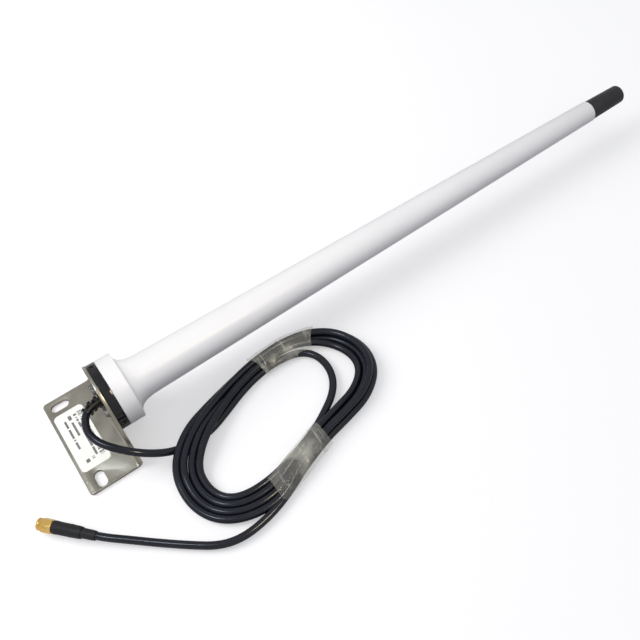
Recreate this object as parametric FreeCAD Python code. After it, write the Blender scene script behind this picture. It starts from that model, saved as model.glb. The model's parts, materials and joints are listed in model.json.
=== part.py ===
import FreeCAD, Part
import math
import os

from FreeCAD import Vector

# Omnidirectional antenna lying on its mounting bracket, in millimetres.
# +X runs along the mast from the bracket to the tip, +Z is up.
# The origin is on the underside of the bracket plate, midway between its two slots.

# ---- driving dimensions -------------------------------------------------------------
axis_z = 28.0                # height of the mast's axis above the plate's underside
flange_x = 26.5              # front face of the bracket's upright flange
sheet_t = 2.0                # bracket sheet thickness
bend_r = 4.0                 # outside radius of the bracket's bend
plate_back_x = -10.0
plate_width = 80.0
plate_corner_r = 2.5
slot_length = 12.5
slot_width = 6.6
slot_y = 33.0
flange_hole_r = 5.0
flange_r = 23.4              # round head of the flange, a little proud of the base cap
taper_start_z = 6.0

base_r = 23.0                # base cap and radome collar
base_cap_t = 6.0
collar_t = 10.7
plug_t = 8.0
plug_r = 20.0
plug_bore_r = 17.0
collar_bore_r = 20.6

tube_root_r = 13.9
tube_tip_r = 7.75
root_wall = 2.2
tip_wall = 1.5
flare_length = 14.5
joint_x = 436.0              # end of the radome, where the tip cap starts
tip_x = 467.5
cap_root_r = 7.35
cap_end_r = 6.75

screw_circle_r = 11.5
screw_r = 1.5
screw_count = 4

board_width = 12.0
board_t = 1.6
board_start_x = 50.5
board_end_x = 398.0
copper_t = 0.2
foam_places_x = (135.0, 245.0, 355.0)
foam_t = 9.0

cable_r = 2.475
hank_base_z = 0.35           # the tapes pass under the hank
hank_height = 9.9            # two layers of cable
tape_gap = 0.05
tape_wall = 0.3

connector_tip = Vector(-44.0, -39.2, 4.8)
connector_angle = 132.0      # direction the connector points, degrees from +X about +Z
nut_back = -9.8              # back of the coupling nut, measured from the connector's tip

# ---- cable route, chosen by hand ----------------------------------------------------
lead_in_route = [
    (32.0, 0.0, 28.0), (20.5, 0.0, 28.0), (13.2, -2.2, 27.4), (8.9, -8.2, 26.2),
    (7.6, -16.0, 24.9), (10.4, -24.8, 23.4), (17.0, -33.2, 21.6), (26.0, -41.0, 19.0),
    (36.5, -44.8, 14.2), (46.0, -45.7, 8.4), (55.0, -45.8, 4.4),
]
inner_turn_route = [
    (140.0, -29.0, 2.85), (150.5, -32.0, 2.85), (157.4, -40.0, 2.85), (159.0, -51.5, 2.85),
    (156.0, -63.0, 2.85), (148.5, -72.5, 2.85), (137.5, -79.0, 2.85), (127.0, -84.0, 2.85),
]
lead_out_route = [
    (95.0, -111.0, 2.85), (80.0, -117.0, 2.75), (65.5, -120.0, 2.7), (51.5, -120.4, 2.7),
    (38.5, -116.6, 2.7), (25.0, -106.0, 2.7), (8.0, -91.3, 2.8), (-13.2, -73.4, 4.8),
    (-28.6, -56.3, 4.8),
]
# middle line of the hank: x, y and half of the bundle's width
hank_line = [
    (46.0, -62.0, 8.8), (62.0, -46.0, 8.2), (83.0, -35.5, 8.2), (104.0, -28.0, 8.0),
    (124.0, -23.5, 7.6), (145.0, -22.5, 7.6), (163.0, -27.0, 7.6), (176.0, -38.0, 7.8),
    (182.0, -55.0, 7.8), (178.0, -71.0, 7.6), (164.0, -82.5, 7.6), (146.0, -87.5, 7.6),
    (127.0, -91.5, 7.2), (105.0, -99.5, 7.2), (84.0, -106.5, 8.0), (64.0, -105.5, 9.2),
    (50.0, -97.0, 9.4), (43.5, -81.0, 9.4),
]


def save(name, shape):
    """Write one sub-part as its own STEP file."""
    shape.exportStep("parts/" + name + ".step")
    print("%-20s solids %d  volume %.1f mm3" % (name, len(shape.Solids), shape.Volume))


def disc(x0, x1, radius, hole=0.0):
    """A disc or ring on the mast's axis, from x0 to x1."""
    start = Vector(x0, 0, axis_z)
    shape = Part.makeCylinder(radius, x1 - x0, start, Vector(1, 0, 0))
    if hole:
        shape = shape.cut(Part.makeCylinder(hole, x1 - x0, start, Vector(1, 0, 0)))
    return shape


def box(x0, x1, y0, y1, z0, z1):
    return Part.makeBox(x1 - x0, y1 - y0, z1 - z0, Vector(x0, y0, z0))


def turned(points):
    """Turn an outline of (x, radius) points about the mast's axis."""
    line = [Vector(x, 0, axis_z + r) for x, r in points]
    face = Part.Face(Part.makePolygon(line + [line[0]]))
    return face.revolve(Vector(0, 0, axis_z), Vector(1, 0, 0), 360)


def group(shapes):
    """Separate solids kept in one node."""
    return Part.makeCompound([solid for shape in shapes for solid in shape.Solids])


# ---- cable paths --------------------------------------------------------------------
def rounded_wire(points, closed=False, report=None):
    """Straight runs joined by tangent arcs, each as large as its two runs allow."""
    count = len(points)
    corners = range(count) if closed else range(1, count - 1)
    arcs = {}
    for i in corners:
        before, corner, after = points[i - 1], points[i], points[(i + 1) % count]
        towards = (before - corner).normalize()
        away = (after - corner).normalize()
        run = min((before - corner).Length, (after - corner).Length)
        reach = 0.45 * run
        turn = math.pi - towards.getAngle(away)
        radius = reach / math.tan(turn / 2)
        middle = (towards + away).normalize()
        depth = radius / math.cos(turn / 2) - radius
        arcs[i] = (corner + towards * reach, corner + middle * depth, corner + away * reach)
        if report is not None:
            report.append((round(radius, 1), round(math.degrees(turn))))
    edges = []
    last = points[0] if not closed else arcs[count - 1][2]
    for i in corners:
        first, middle, end = arcs[i]
        edges.append(Part.LineSegment(last, first).toShape())
        edges.append(Part.Arc(first, middle, end).toShape())
        last = end
    if not closed:
        edges.append(Part.LineSegment(last, points[-1]).toShape())
    return edges


def swept(edges, radius):
    """A round bar along a chain of edges."""
    start = edges[0].valueAt(edges[0].FirstParameter)
    direction = edges[0].tangentAt(edges[0].FirstParameter)
    profile = Part.Wire(Part.Circle(start, direction, radius).toShape())
    return Part.Wire(edges).makePipeShell([profile], True, False)


def cable(name, route):
    """One open stretch of the cable."""
    radii = []
    edges = rounded_wire([Vector(*p) for p in route], report=radii)
    tube = swept(edges, cable_r)
    length = sum(edge.Length for edge in edges)
    expected = math.pi * cable_r ** 2 * length
    print("%s: length %.1f mm, volume / (section x length) %.4f" % (name, length, tube.Volume / expected))
    print("   arc radius and turn at each point:", radii)
    return tube, edges


# ---- bracket ------------------------------------------------------------------------
def l_profile():
    """The bent sheet seen from the side, extruded over the plate's width."""
    inner_r = bend_r - sheet_t
    back, front, top = plate_back_x, flange_x, axis_z + flange_r + 5
    centre_x, centre_z = front - bend_r, bend_r
    diagonal = math.sqrt(0.5)
    outer_mid = Vector(centre_x + bend_r * diagonal, 0, centre_z - bend_r * diagonal)
    inner_mid = Vector(centre_x + inner_r * diagonal, 0, centre_z - inner_r * diagonal)
    corner = [
        Vector(back, 0, 0), Vector(centre_x, 0, 0), Vector(front, 0, centre_z), Vector(front, 0, top),
        Vector(front - sheet_t, 0, top), Vector(front - sheet_t, 0, centre_z),
        Vector(centre_x, 0, sheet_t), Vector(back, 0, sheet_t),
    ]
    edges = [
        Part.LineSegment(corner[0], corner[1]).toShape(),
        Part.Arc(corner[1], outer_mid, corner[2]).toShape(),
        Part.LineSegment(corner[2], corner[3]).toShape(),
        Part.LineSegment(corner[3], corner[4]).toShape(),
        Part.LineSegment(corner[4], corner[5]).toShape(),
        Part.Arc(corner[5], inner_mid, corner[6]).toShape(),
        Part.LineSegment(corner[6], corner[7]).toShape(),
        Part.LineSegment(corner[7], corner[0]).toShape(),
    ]
    sheet = Part.Face(Part.Wire(edges)).extrude(Vector(0, plate_width, 0))
    sheet.translate(Vector(0, -plate_width / 2, 0))
    return sheet


def flange_outline():
    """Full width at the bend, tapering in straight lines to the round head."""
    half = plate_width / 2
    rise = axis_z - taper_start_z
    to_centre = math.atan2(rise, half)
    spread = math.asin(flange_r / math.hypot(rise, half))
    slope = to_centre + spread
    reach = math.sqrt(rise ** 2 + half ** 2 - flange_r ** 2)
    touch_y = -half + reach * math.cos(slope)
    touch_z = taper_start_z + reach * math.sin(slope)
    low = -5.0
    corner = [
        Vector(0, -half, low), Vector(0, half, low), Vector(0, half, taper_start_z),
        Vector(0, -touch_y, touch_z), Vector(0, touch_y, touch_z), Vector(0, -half, taper_start_z),
    ]
    edges = [
        Part.LineSegment(corner[0], corner[1]).toShape(),
        Part.LineSegment(corner[1], corner[2]).toShape(),
        Part.LineSegment(corner[2], corner[3]).toShape(),
        Part.Arc(corner[3], Vector(0, 0, axis_z + flange_r), corner[4]).toShape(),
        Part.LineSegment(corner[4], corner[5]).toShape(),
        Part.LineSegment(corner[5], corner[0]).toShape(),
    ]
    start_x = plate_back_x - 10
    outline = Part.Face(Part.Wire(edges)).extrude(Vector(flange_x + 10 - start_x, 0, 0))
    outline.translate(Vector(start_x, 0, 0))
    return outline


def slot_cutter(y, lengthwise):
    """A round-ended slot through the plate."""
    straight = slot_length - slot_width
    radius = slot_width / 2
    step = Vector(straight / 2, 0, 0) if lengthwise else Vector(0, straight / 2, 0)
    centre = Vector(0, y, -1)
    cutter = Part.makeCylinder(radius, sheet_t + 2, centre - step)
    cutter = cutter.fuse(Part.makeCylinder(radius, sheet_t + 2, centre + step))
    if lengthwise:
        middle = box(-straight / 2, straight / 2, y - radius, y + radius, -1, sheet_t + 1)
    else:
        middle = box(-radius, radius, y - straight / 2, y + straight / 2, -1, sheet_t + 1)
    return cutter.fuse(middle)


def screw_places():
    for i in range(screw_count):
        angle = math.radians(360.0 / screw_count * i)
        yield screw_circle_r * math.cos(angle), axis_z + screw_circle_r * math.sin(angle)


def along_x(x0, x1, y, z, radius):
    return Part.makeCylinder(radius, x1 - x0, Vector(x0, y, z), Vector(1, 0, 0))


def make_bracket():
    sheet = l_profile().common(flange_outline())
    corners = [e for e in sheet.Edges
               if abs(e.BoundBox.XMax - plate_back_x) < 0.01 and e.BoundBox.ZLength > 1.5]
    sheet = sheet.makeFillet(plate_corner_r, corners)
    sheet = sheet.cut(slot_cutter(slot_y, True)).cut(slot_cutter(-slot_y, False))
    sheet = sheet.cut(disc(flange_x - 5, flange_x + 1, flange_hole_r))
    for y, z in screw_places():
        sheet = sheet.cut(along_x(flange_x - 5, flange_x + 1, y, z, screw_r + 0.2))
    return sheet


def make_label():
    label = box(-8.0, 12.5, -23.5, 26.0, sheet_t, sheet_t + 0.15)
    uprights = [e for e in label.Edges if e.BoundBox.ZLength > 0.1]
    return label.makeFillet(3.0, uprights)


def make_screws():
    head_x = flange_x - sheet_t - 0.6
    screws = []
    for y, z in screw_places():
        shank = along_x(head_x, flange_x + base_cap_t - 0.5, y, z, screw_r)
        head = along_x(head_x - 2.0, head_x, y, z, 2.8)
        rim = [e for e in head.Edges if abs(e.BoundBox.XMax - (head_x - 2.0)) < 0.01]
        head = head.makeFillet(0.8, rim)
        socket = along_x(head_x - 2.1, head_x - 0.9, y, z, 1.1)
        screws.append(head.fuse(shank).cut(socket))
    return group(screws)


def make_washers():
    x0 = flange_x - sheet_t - 0.6
    washers = []
    for y, z in screw_places():
        ring = along_x(x0, x0 + 0.6, y, z, 3.3)
        washers.append(ring.cut(along_x(x0, x0 + 0.6, y, z, screw_r + 0.1)))
    return group(washers)


# ---- base cap and radome ------------------------------------------------------------
def latch_pocket(angle):
    """A pocket in the cap's rim where a latch of the collar would be pressed."""
    pocket = box(flange_x + 1.4, flange_x + 4.4, -2.4, 2.4, base_r - 1.3, base_r + 1)
    pocket.rotate(Vector(0, 0, 0), Vector(1, 0, 0), angle)
    pocket.translate(Vector(0, 0, axis_z))
    return pocket


def make_base_cap():
    face_x = flange_x
    plug_x = face_x + base_cap_t
    rim = 0.6
    cap = turned([
        (face_x, flange_hole_r), (face_x, base_r - rim), (face_x + rim, base_r), (plug_x, base_r),
        (plug_x, plug_r), (plug_x + 2.6, plug_r), (plug_x + 2.6, 18.4), (plug_x + 5.0, 18.4),
        (plug_x + 5.0, plug_r), (plug_x + plug_t, plug_r), (plug_x + plug_t, plug_bore_r),
        (plug_x, plug_bore_r), (plug_x, 6.6), (plug_x - 2.2, 6.6), (plug_x - 2.2, flange_hole_r),
    ])
    for y, z in screw_places():
        cap = cap.cut(along_x(face_x - 1, plug_x + 1, y, z, screw_r + 0.02))
    for angle in (-23.0, 97.0, 217.0):
        cap = cap.cut(latch_pocket(angle))
    return cap


def make_base_seal():
    return Part.makeTorus(19.5, 1.05, Vector(flange_x + base_cap_t + 3.8, 0, axis_z), Vector(1, 0, 0))


def radome_start():
    return flange_x + base_cap_t


def make_radome():
    """Collar, concave flare and long tapered tube, moulded in one piece."""
    x0 = radome_start()
    shoulder = x0 + collar_t
    flare_end = shoulder + flare_length
    rim = 0.7

    def at(x, r):
        return Vector(x, 0, axis_z + r)

    flare = Part.BezierCurve()
    flare.setPoles([at(shoulder, 20.8), at(shoulder + 0.6, 15.9),
                    at(shoulder + 5.5, tube_root_r + 0.15), at(flare_end, tube_root_r)])
    outside = [
        Part.makePolygon([at(x0, collar_bore_r), at(x0, base_r), at(shoulder - rim, base_r)]),
        Part.Arc(at(shoulder - rim, base_r), at(shoulder - 0.3 * rim, base_r - 0.3 * rim),
                 at(shoulder, base_r - rim)).toShape(),
        Part.makePolygon([at(shoulder, base_r - rim), at(shoulder, 20.8)]),
        flare.toShape(),
        Part.makePolygon([at(flare_end, tube_root_r), at(joint_x, tube_tip_r),
                          at(joint_x, tube_tip_r - tip_wall), at(flare_end, tube_root_r - root_wall),
                          at(shoulder + 0.5, 14.0), at(shoulder - 1.7, 17.0),
                          at(shoulder - 1.7, collar_bore_r), at(x0, collar_bore_r)]),
    ]
    edges = [edge for piece in outside for edge in piece.Edges]
    face = Part.Face(Part.Wire(Part.__sortEdges__(edges)))
    return face.revolve(Vector(0, 0, axis_z), Vector(1, 0, 0), 360)


def tube_bore_r(x):
    """Inside radius of the tapered tube at x."""
    start = radome_start() + collar_t + flare_length
    part = (x - start) / (joint_x - start)
    first, last = tube_root_r - root_wall, tube_tip_r - tip_wall
    return first + (last - first) * part


def make_tip_cap():
    plug_start = joint_x - 12.0
    grip = tube_bore_r(joint_x) - 0.03
    cap = turned([
        (plug_start, 3.5), (plug_start, grip - 0.8), (plug_start + 1.0, grip), (joint_x, grip),
        (joint_x, cap_root_r), (tip_x, cap_end_r), (tip_x, 0.0), (tip_x - 2.0, 0.0),
        (tip_x - 2.0, 3.5),
    ])
    rim = [e for e in cap.Edges if abs(e.BoundBox.XMin - tip_x) < 0.01 and e.Length > 30]
    return cap.makeFillet(2.6, rim)


# ---- inside the antenna -------------------------------------------------------------
def make_board_holder():
    """A disc in the base cap's plug with two arms that grip the board's edges."""
    x0 = radome_start() + 3.6
    holder = disc(x0, x0 + 3.4, plug_bore_r - 0.1, 1.4)
    groove_y = board_width / 2 + 0.05
    for side in (-1, 1):
        low, high = sorted((side * (groove_y - 1.0), side * (groove_y + 1.6)))
        arm = box(x0 + 3.4, board_start_x + 8.0, low, high, axis_z - 2.0, axis_z + 2.0)
        holder = holder.fuse(arm)
    groove = box(board_start_x - 0.1, board_start_x + 9.0, -groove_y, groove_y,
                 axis_z - board_t / 2 - 0.05, axis_z + board_t / 2 + 0.05)
    return holder.cut(groove)


def make_board():
    return box(board_start_x, board_end_x, -board_width / 2, board_width / 2,
               axis_z - board_t / 2, axis_z + board_t / 2)


def make_copper():
    """Dipole arms and the feed line, printed on both faces of the board."""
    top = axis_z + board_t / 2
    under = axis_z - board_t / 2
    pieces = [box(board_start_x + 9.0, board_end_x - 6.0, -0.6, 0.6, top, top + copper_t)]
    arm, pitch, first = 52.0, 66.0, board_start_x + 16.0
    for i in range(5):
        x = first + pitch * i
        for y0 in (-4.6, 2.6):
            pieces.append(box(x, x + arm, y0, y0 + 2.0, top, top + copper_t))
        pieces.append(box(x + 5.0, x + arm + 5.0, -4.0, 4.0, under - copper_t, under))
    return group(pieces)


def make_foam_spacers():
    spacers = []
    for x in foam_places_x:
        ring = disc(x, x + foam_t, tube_bore_r(x + foam_t) - 0.05)
        slot = box(x - 1, x + foam_t + 1, -board_width / 2 - 0.05, board_width / 2 + 0.05,
                   axis_z - board_t / 2 - copper_t - 0.05, axis_z + board_t / 2 + copper_t + 0.05)
        spacers.append(ring.cut(slot))
    return group(spacers)


def make_feed_coax():
    return disc(radome_start() + 3.4, board_start_x, 1.25)


def make_choke():
    x0 = radome_start() + 7.6
    return disc(x0, x0 + 8.4, 4.4, 1.35)


def make_feed_ferrule():
    x0 = radome_start() + 0.1
    return disc(x0, x0 + 3.2, 3.5, cable_r)


# ---- strain relief ------------------------------------------------------------------
def point_on(edges, distance):
    """Point and direction at a distance along a chain of edges."""
    for edge in edges:
        if distance <= edge.Length:
            parameter = edge.getParameterByLength(distance)
            return edge.valueAt(parameter), edge.tangentAt(parameter)
        distance -= edge.Length
    return edges[-1].valueAt(edges[-1].LastParameter), edges[-1].tangentAt(edges[-1].LastParameter)


def make_strain_relief(cable_edges, cable_tube):
    """A ribbed boot that follows the cable round its first bend."""
    spine = cable_edges[:5]
    length = sum(edge.Length for edge in spine)
    boot = swept(spine, 3.15)
    rib_count, rib_t = 6, 1.35
    first = 32.0 - (flange_x - sheet_t) + 1.2
    pitch = (length - first - rib_t) / (rib_count - 1)
    for i in range(rib_count):
        place, direction = point_on(spine, first + pitch * i)
        radius = 4.25 - 0.13 * i
        boot = boot.fuse(Part.makeCylinder(radius, rib_t, place, direction))
    boot = boot.fuse(disc(flange_x - sheet_t - 0.9, 32.0, flange_hole_r - 0.05))
    plug_x = flange_x + base_cap_t
    boot = boot.fuse(disc(plug_x - 2.15, plug_x - 0.1, 6.5))
    return boot.removeSplitter().cut(cable_tube)


# ---- hank of cable and its tapes ----------------------------------------------------
def hank_outline(side, grow):
    """Outer (side 1) or inner (side -1) edge of the hank, moved outwards by grow."""
    count = len(hank_line)
    points = []
    for i, (x, y, half) in enumerate(hank_line):
        before, after = hank_line[i - 1], hank_line[(i + 1) % count]
        along = Vector(after[0] - before[0], after[1] - before[1], 0).normalize()
        left = Vector(-along.y, along.x, 0)
        points.append(Vector(x, y, 0) + left * (side * (half + grow)))
    return Part.Wire(rounded_wire(points, closed=True))


def hank_solid(grow):
    height = hank_height + 2 * grow
    outer = Part.Face(hank_outline(1, grow)).extrude(Vector(0, 0, height))
    inner = Part.Face(hank_outline(-1, grow)).extrude(Vector(0, 0, height))
    ring = outer.cut(inner)
    ring.translate(Vector(0, 0, hank_base_z - grow))
    return ring


def make_tape(centre_x, centre_y, length, angle):
    """A sleeve of clear tape round a stretch of the hank."""
    block = box(-length / 2, length / 2, -20, 20, -1, 30)
    block.rotate(Vector(0, 0, 0), Vector(0, 0, 1), angle)
    block.translate(Vector(centre_x, centre_y, 0))
    return hank_solid(tape_gap + tape_wall - 0.02).common(block).cut(hank_solid(tape_gap))


# ---- connector, built pointing along +X with its tip at the origin --------------------
def placed(shape):
    shape.rotate(Vector(0, 0, 0), Vector(0, 0, 1), connector_angle)
    shape.translate(connector_tip)
    return shape


def bush(x0, x1, radius, hole=0.0):
    shape = Part.makeCylinder(radius, x1 - x0, Vector(x0, 0, 0), Vector(1, 0, 0))
    if hole:
        shape = shape.cut(Part.makeCylinder(hole, x1 - x0, Vector(x0, 0, 0), Vector(1, 0, 0)))
    return shape


def cone(x0, x1, r0, r1):
    return Part.makeCone(r0, r1, x1 - x0, Vector(x0, 0, 0), Vector(1, 0, 0))


def make_coupling_nut():
    """Hexagon nut, 8 mm across flats, with a round nose, chamfered corners and a stepped bore."""
    corner_r = 4.0 / math.cos(math.radians(30))
    nose = -2.6
    hexagon = [Vector(nut_back, corner_r * math.cos(math.radians(60 * i)),
                      corner_r * math.sin(math.radians(60 * i))) for i in range(6)]
    prism = Part.Face(Part.makePolygon(hexagon + [hexagon[0]])).extrude(Vector(nose - nut_back, 0, 0))
    chamfer = cone(nose - 0.8, nose, 4.75, 4.0).fuse(bush(nut_back + 0.9, nose - 0.8, 4.75))
    chamfer = chamfer.fuse(cone(nut_back, nut_back + 0.9, 3.9, 4.75))
    nut = prism.common(chamfer).fuse(bush(nose - 0.1, -0.4, 3.85)).fuse(cone(-0.4, 0.0, 3.85, 3.5))
    nut = nut.cut(bush(-5.6, 0.1, 3.1)).cut(bush(nut_back - 0.1, -5.5, 2.62))
    return placed(nut.cut(bush(-7.4, -6.1, 3.05)))


def make_connector_body():
    shoulder = nut_back - 0.1
    body = bush(-5.2, -1.8, 2.3).fuse(bush(shoulder, -5.2, 2.55)).fuse(bush(-12.6, shoulder, 3.3))
    body = body.fuse(bush(-18.6, -12.6, 2.2))
    groove = bush(-7.15, -6.35, 2.7, 2.1)
    return placed(body.cut(groove).cut(bush(-9.0, -1.7, 2.0)).cut(bush(-18.7, -9.0, 1.4)))


def make_snap_ring():
    ring = bush(-7.1, -6.4, 2.95, 2.14)
    return placed(ring.cut(Part.makeBox(3, 1.0, 4, Vector(-8, -0.5, 0))))


def make_insulator():
    return placed(bush(-9.0, -2.1, 1.98, 0.65))


def make_centre_pin():
    pin = bush(-17.8, -2.4, 0.62).fuse(bush(-2.4, -1.0, 0.46)).fuse(cone(-1.0, -0.5, 0.46, 0.2))
    return placed(pin)


def make_gasket():
    return placed(bush(-5.15, -4.5, 3.0, 2.35))


def make_crimp_ferrule():
    return placed(bush(-22.0, -12.7, 3.1, 2.5))


def make_heat_shrink_large():
    sleeve = bush(-27.2, -10.0, 4.1).fuse(cone(-29.2, -27.2, 3.65, 4.1))
    return placed(sleeve.cut(bush(-29.3, -9.9, 3.35)))


def make_heat_shrink_small():
    sleeve = bush(-37.0, -25.6, 3.2).fuse(cone(-38.5, -37.0, 2.8, 3.2))
    return placed(sleeve.cut(bush(-38.6, -25.5, cable_r + 0.02)))


def main():
    os.makedirs("parts", exist_ok=True)
    lead_in, lead_in_edges = cable("cable_lead_in", lead_in_route)
    inner_turn, _ = cable("cable_inner_turn", inner_turn_route)
    lead_out, _ = cable("cable_lead_out", lead_out_route)
    hank = hank_solid(0.0)
    relief = make_strain_relief(lead_in_edges, lead_in)
    tape_upper = make_tape(140.0, -23.0, 37.0, 0.0).cut(inner_turn)
    tape_lower = make_tape(105.0, -99.0, 42.0, 20.0).cut(lead_out)
    small_sleeve = make_heat_shrink_small().cut(lead_out)
    save("bracket", make_bracket())
    save("rating_label", make_label())
    save("flange_screws", make_screws())
    save("flange_washers", make_washers())
    save("base_cap", make_base_cap())
    save("base_seal", make_base_seal())
    save("radome", make_radome())
    save("tip_cap", make_tip_cap())
    save("strain_relief", relief)
    save("feed_ferrule", make_feed_ferrule())
    save("feed_coax", make_feed_coax())
    save("ferrite_choke", make_choke())
    save("board_holder", make_board_holder())
    save("radiator_board", make_board())
    save("radiator_copper", make_copper())
    save("foam_spacers", make_foam_spacers())
    save("cable_lead_in", lead_in.cut(hank))
    save("cable_hank", hank)
    save("cable_inner_turn", inner_turn.cut(hank))
    save("cable_lead_out", lead_out.cut(hank))
    save("tape_upper", tape_upper)
    save("tape_lower", tape_lower)
    save("heat_shrink_large", make_heat_shrink_large())
    save("heat_shrink_small", small_sleeve)
    save("crimp_ferrule", make_crimp_ferrule())
    save("connector_body", make_connector_body())
    save("coupling_nut", make_coupling_nut())
    save("nut_snap_ring", make_snap_ring())
    save("connector_gasket", make_gasket())
    save("ptfe_insulator", make_insulator())
    save("centre_pin", make_centre_pin())


main()
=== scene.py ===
import bpy
import json
import math
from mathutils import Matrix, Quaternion, Vector

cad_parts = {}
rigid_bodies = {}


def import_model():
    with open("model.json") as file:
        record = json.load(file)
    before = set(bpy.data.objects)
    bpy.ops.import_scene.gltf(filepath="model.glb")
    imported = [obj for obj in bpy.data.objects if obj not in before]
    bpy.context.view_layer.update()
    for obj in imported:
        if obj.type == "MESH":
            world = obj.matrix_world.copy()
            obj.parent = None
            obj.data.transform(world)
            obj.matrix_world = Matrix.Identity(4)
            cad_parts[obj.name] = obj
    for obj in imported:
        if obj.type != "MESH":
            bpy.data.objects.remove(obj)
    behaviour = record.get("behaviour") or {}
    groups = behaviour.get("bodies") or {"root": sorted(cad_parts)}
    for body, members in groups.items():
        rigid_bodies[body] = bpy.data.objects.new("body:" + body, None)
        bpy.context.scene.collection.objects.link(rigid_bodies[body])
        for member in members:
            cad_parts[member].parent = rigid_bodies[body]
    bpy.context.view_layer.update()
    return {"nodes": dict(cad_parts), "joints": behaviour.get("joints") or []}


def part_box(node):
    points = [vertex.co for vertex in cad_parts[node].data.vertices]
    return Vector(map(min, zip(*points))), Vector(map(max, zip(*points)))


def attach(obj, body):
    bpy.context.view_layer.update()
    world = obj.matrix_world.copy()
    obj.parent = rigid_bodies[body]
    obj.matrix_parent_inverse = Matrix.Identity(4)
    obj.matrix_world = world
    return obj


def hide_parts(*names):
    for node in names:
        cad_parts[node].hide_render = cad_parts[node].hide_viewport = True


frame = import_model()
nodes = frame["nodes"]
mm = 0.001
print("frame loaded:", len(nodes), "nodes")

# places that many pieces share, all from the frame
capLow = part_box("base_cap")[0]
radomeLow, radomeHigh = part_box("radome")
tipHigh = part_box("tip_cap")[1]
axisZ = (radomeLow.z + radomeHigh.z) / 2
flangeX = capLow.x
baseR = (radomeHigh.z - radomeLow.z) / 2
mastStart = Vector((0, 0, axisZ))
mastDirection = Vector((1, 0, 0))
nutSpin = frame["joints"][0]
plugTip = Vector(nutSpin["pos_m"])
plugDirection = Vector(nutSpin["axis"])


def deselectAll():
    if bpy.context.object and bpy.context.object.mode != "OBJECT":
        bpy.ops.object.mode_set(mode="OBJECT")
    bpy.ops.object.select_all(action="DESELECT")


def pick(piece):
    deselectAll()
    piece.select_set(True)
    bpy.context.view_layer.objects.active = piece


def applyPlace(piece):
    pick(piece)
    bpy.ops.object.transform_apply(location=True, rotation=True, scale=True)


def applyModifier(piece, kind, **settings):
    pick(piece)
    modifier = piece.modifiers.new(kind.title(), kind)
    for name, value in settings.items():
        setattr(modifier, name, value)
    bpy.ops.object.modifier_apply(modifier=modifier.name)


def roundEdges(piece, width, segments=3, degrees=30):
    applyModifier(piece, "BEVEL", width=width, segments=segments, limit_method="ANGLE",
                  angle_limit=math.radians(degrees), harden_normals=False)


def smooth(piece, degrees=35):
    pick(piece)
    bpy.ops.object.shade_smooth_by_angle(angle=math.radians(degrees))


def selectFaces(piece, test):
    # leaves the piece in edit mode with only the faces that pass the test selected
    pick(piece)
    bpy.ops.object.mode_set(mode="EDIT")
    bpy.ops.mesh.select_mode(type="FACE")
    bpy.ops.mesh.select_all(action="DESELECT")
    bpy.ops.object.mode_set(mode="OBJECT")
    for face in piece.data.polygons:
        face.select = test(face.center, face.normal)
    bpy.ops.object.mode_set(mode="EDIT")


def lathe(name, outline, start, direction, steps=96):
    # outline: distance along the axis and radius in mm, spun once round the axis
    axis = Vector(direction).normalized()
    side = (Vector((0, 0, 1)) - axis * axis.z).normalized()
    points = [start + axis * (along * mm) + side * (radius * mm) for along, radius in outline]
    deselectAll()
    bpy.ops.mesh.primitive_plane_add(size=1 * mm, location=points[0])
    piece = bpy.context.object
    piece.name = name
    bpy.ops.object.mode_set(mode="EDIT")
    bpy.ops.mesh.select_mode(type="VERT")
    bpy.ops.mesh.merge(type="CENTER")
    for here, there in zip(points, points[1:]):
        bpy.ops.mesh.extrude_vertices_move(TRANSFORM_OT_translate={"value": there - here})
    bpy.ops.mesh.select_all(action="SELECT")
    bpy.ops.mesh.spin(steps=steps, angle=2 * math.pi, center=start, axis=axis)
    bpy.ops.mesh.select_all(action="SELECT")
    bpy.ops.mesh.remove_doubles(threshold=0.001 * mm)
    bpy.ops.mesh.normals_make_consistent(inside=False)
    bpy.ops.object.mode_set(mode="OBJECT")
    applyPlace(piece)
    return piece


cameraSettings = {
    "place": (0.0242, -0.3354, 0.4669),
    "direction": (0.26026, 0.54519, -0.79689),
    "roll": 10.588,
    "lens": 47.81,
}


def makeCamera():
    aim = Vector(cameraSettings["direction"]).to_track_quat("-Z", "Y")
    turn = Quaternion((0, 0, 1), -math.radians(cameraSettings["roll"]))
    bpy.ops.object.camera_add(location=cameraSettings["place"])
    camera = bpy.context.object
    camera.rotation_mode = "QUATERNION"
    camera.rotation_quaternion = aim @ turn
    camera.data.lens = cameraSettings["lens"]
    camera.data.sensor_width = 36
    camera.data.clip_start = 0.01
    camera.data.clip_end = 20
    bpy.context.scene.camera = camera
    print("camera placed")


makeCamera()

# the coaxial cable, one strand from the flange to the plug
cableSettings = {
    "diameter": 4.95 * mm,
    "exit": (24.5, 0.0, 28.0),    # where it leaves the flange, mm
    "bottomRow": 2.85,            # height of a strand lying on the lower film, mm
    "halfRow": 4.9,               # a strand between the two rows
    "topRow": 7.1,                # a strand lying in the groove of two others
    "hump": 8.3,                  # a strand passing over the lead-in
    "turns": 4,
}
# from the strain relief down to the hank and along its inner side, mm
leadInRoute = [
    (32.0, 0.0, 28.0), (20.5, 0.0, 28.0), (13.2, -2.2, 27.4), (8.9, -8.2, 26.2),
    (7.6, -16.0, 24.9), (10.4, -24.8, 23.4), (17.0, -33.2, 21.4), (25.5, -40.6, 17.8),
    (34.5, -44.6, 12.2), (43.0, -46.2, 6.6), (51.0, -46.8, 3.4), (60.0, -47.2, 2.7),
    (72.0, -46.9, 2.7), (86.0, -41.6, 2.85), (99.5, -35.6, 2.85), (113.0, -31.0, 2.85),
    (127.0, -28.6, 2.85),
]
innerTurnRoute = [
    (140.0, -29.0, 2.85), (150.5, -32.0, 2.85), (157.4, -40.0, 2.85), (159.0, -51.5, 2.85),
    (156.0, -63.0, 2.85), (148.5, -72.5, 2.85), (138.0, -79.6, 2.85),
]
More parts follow.
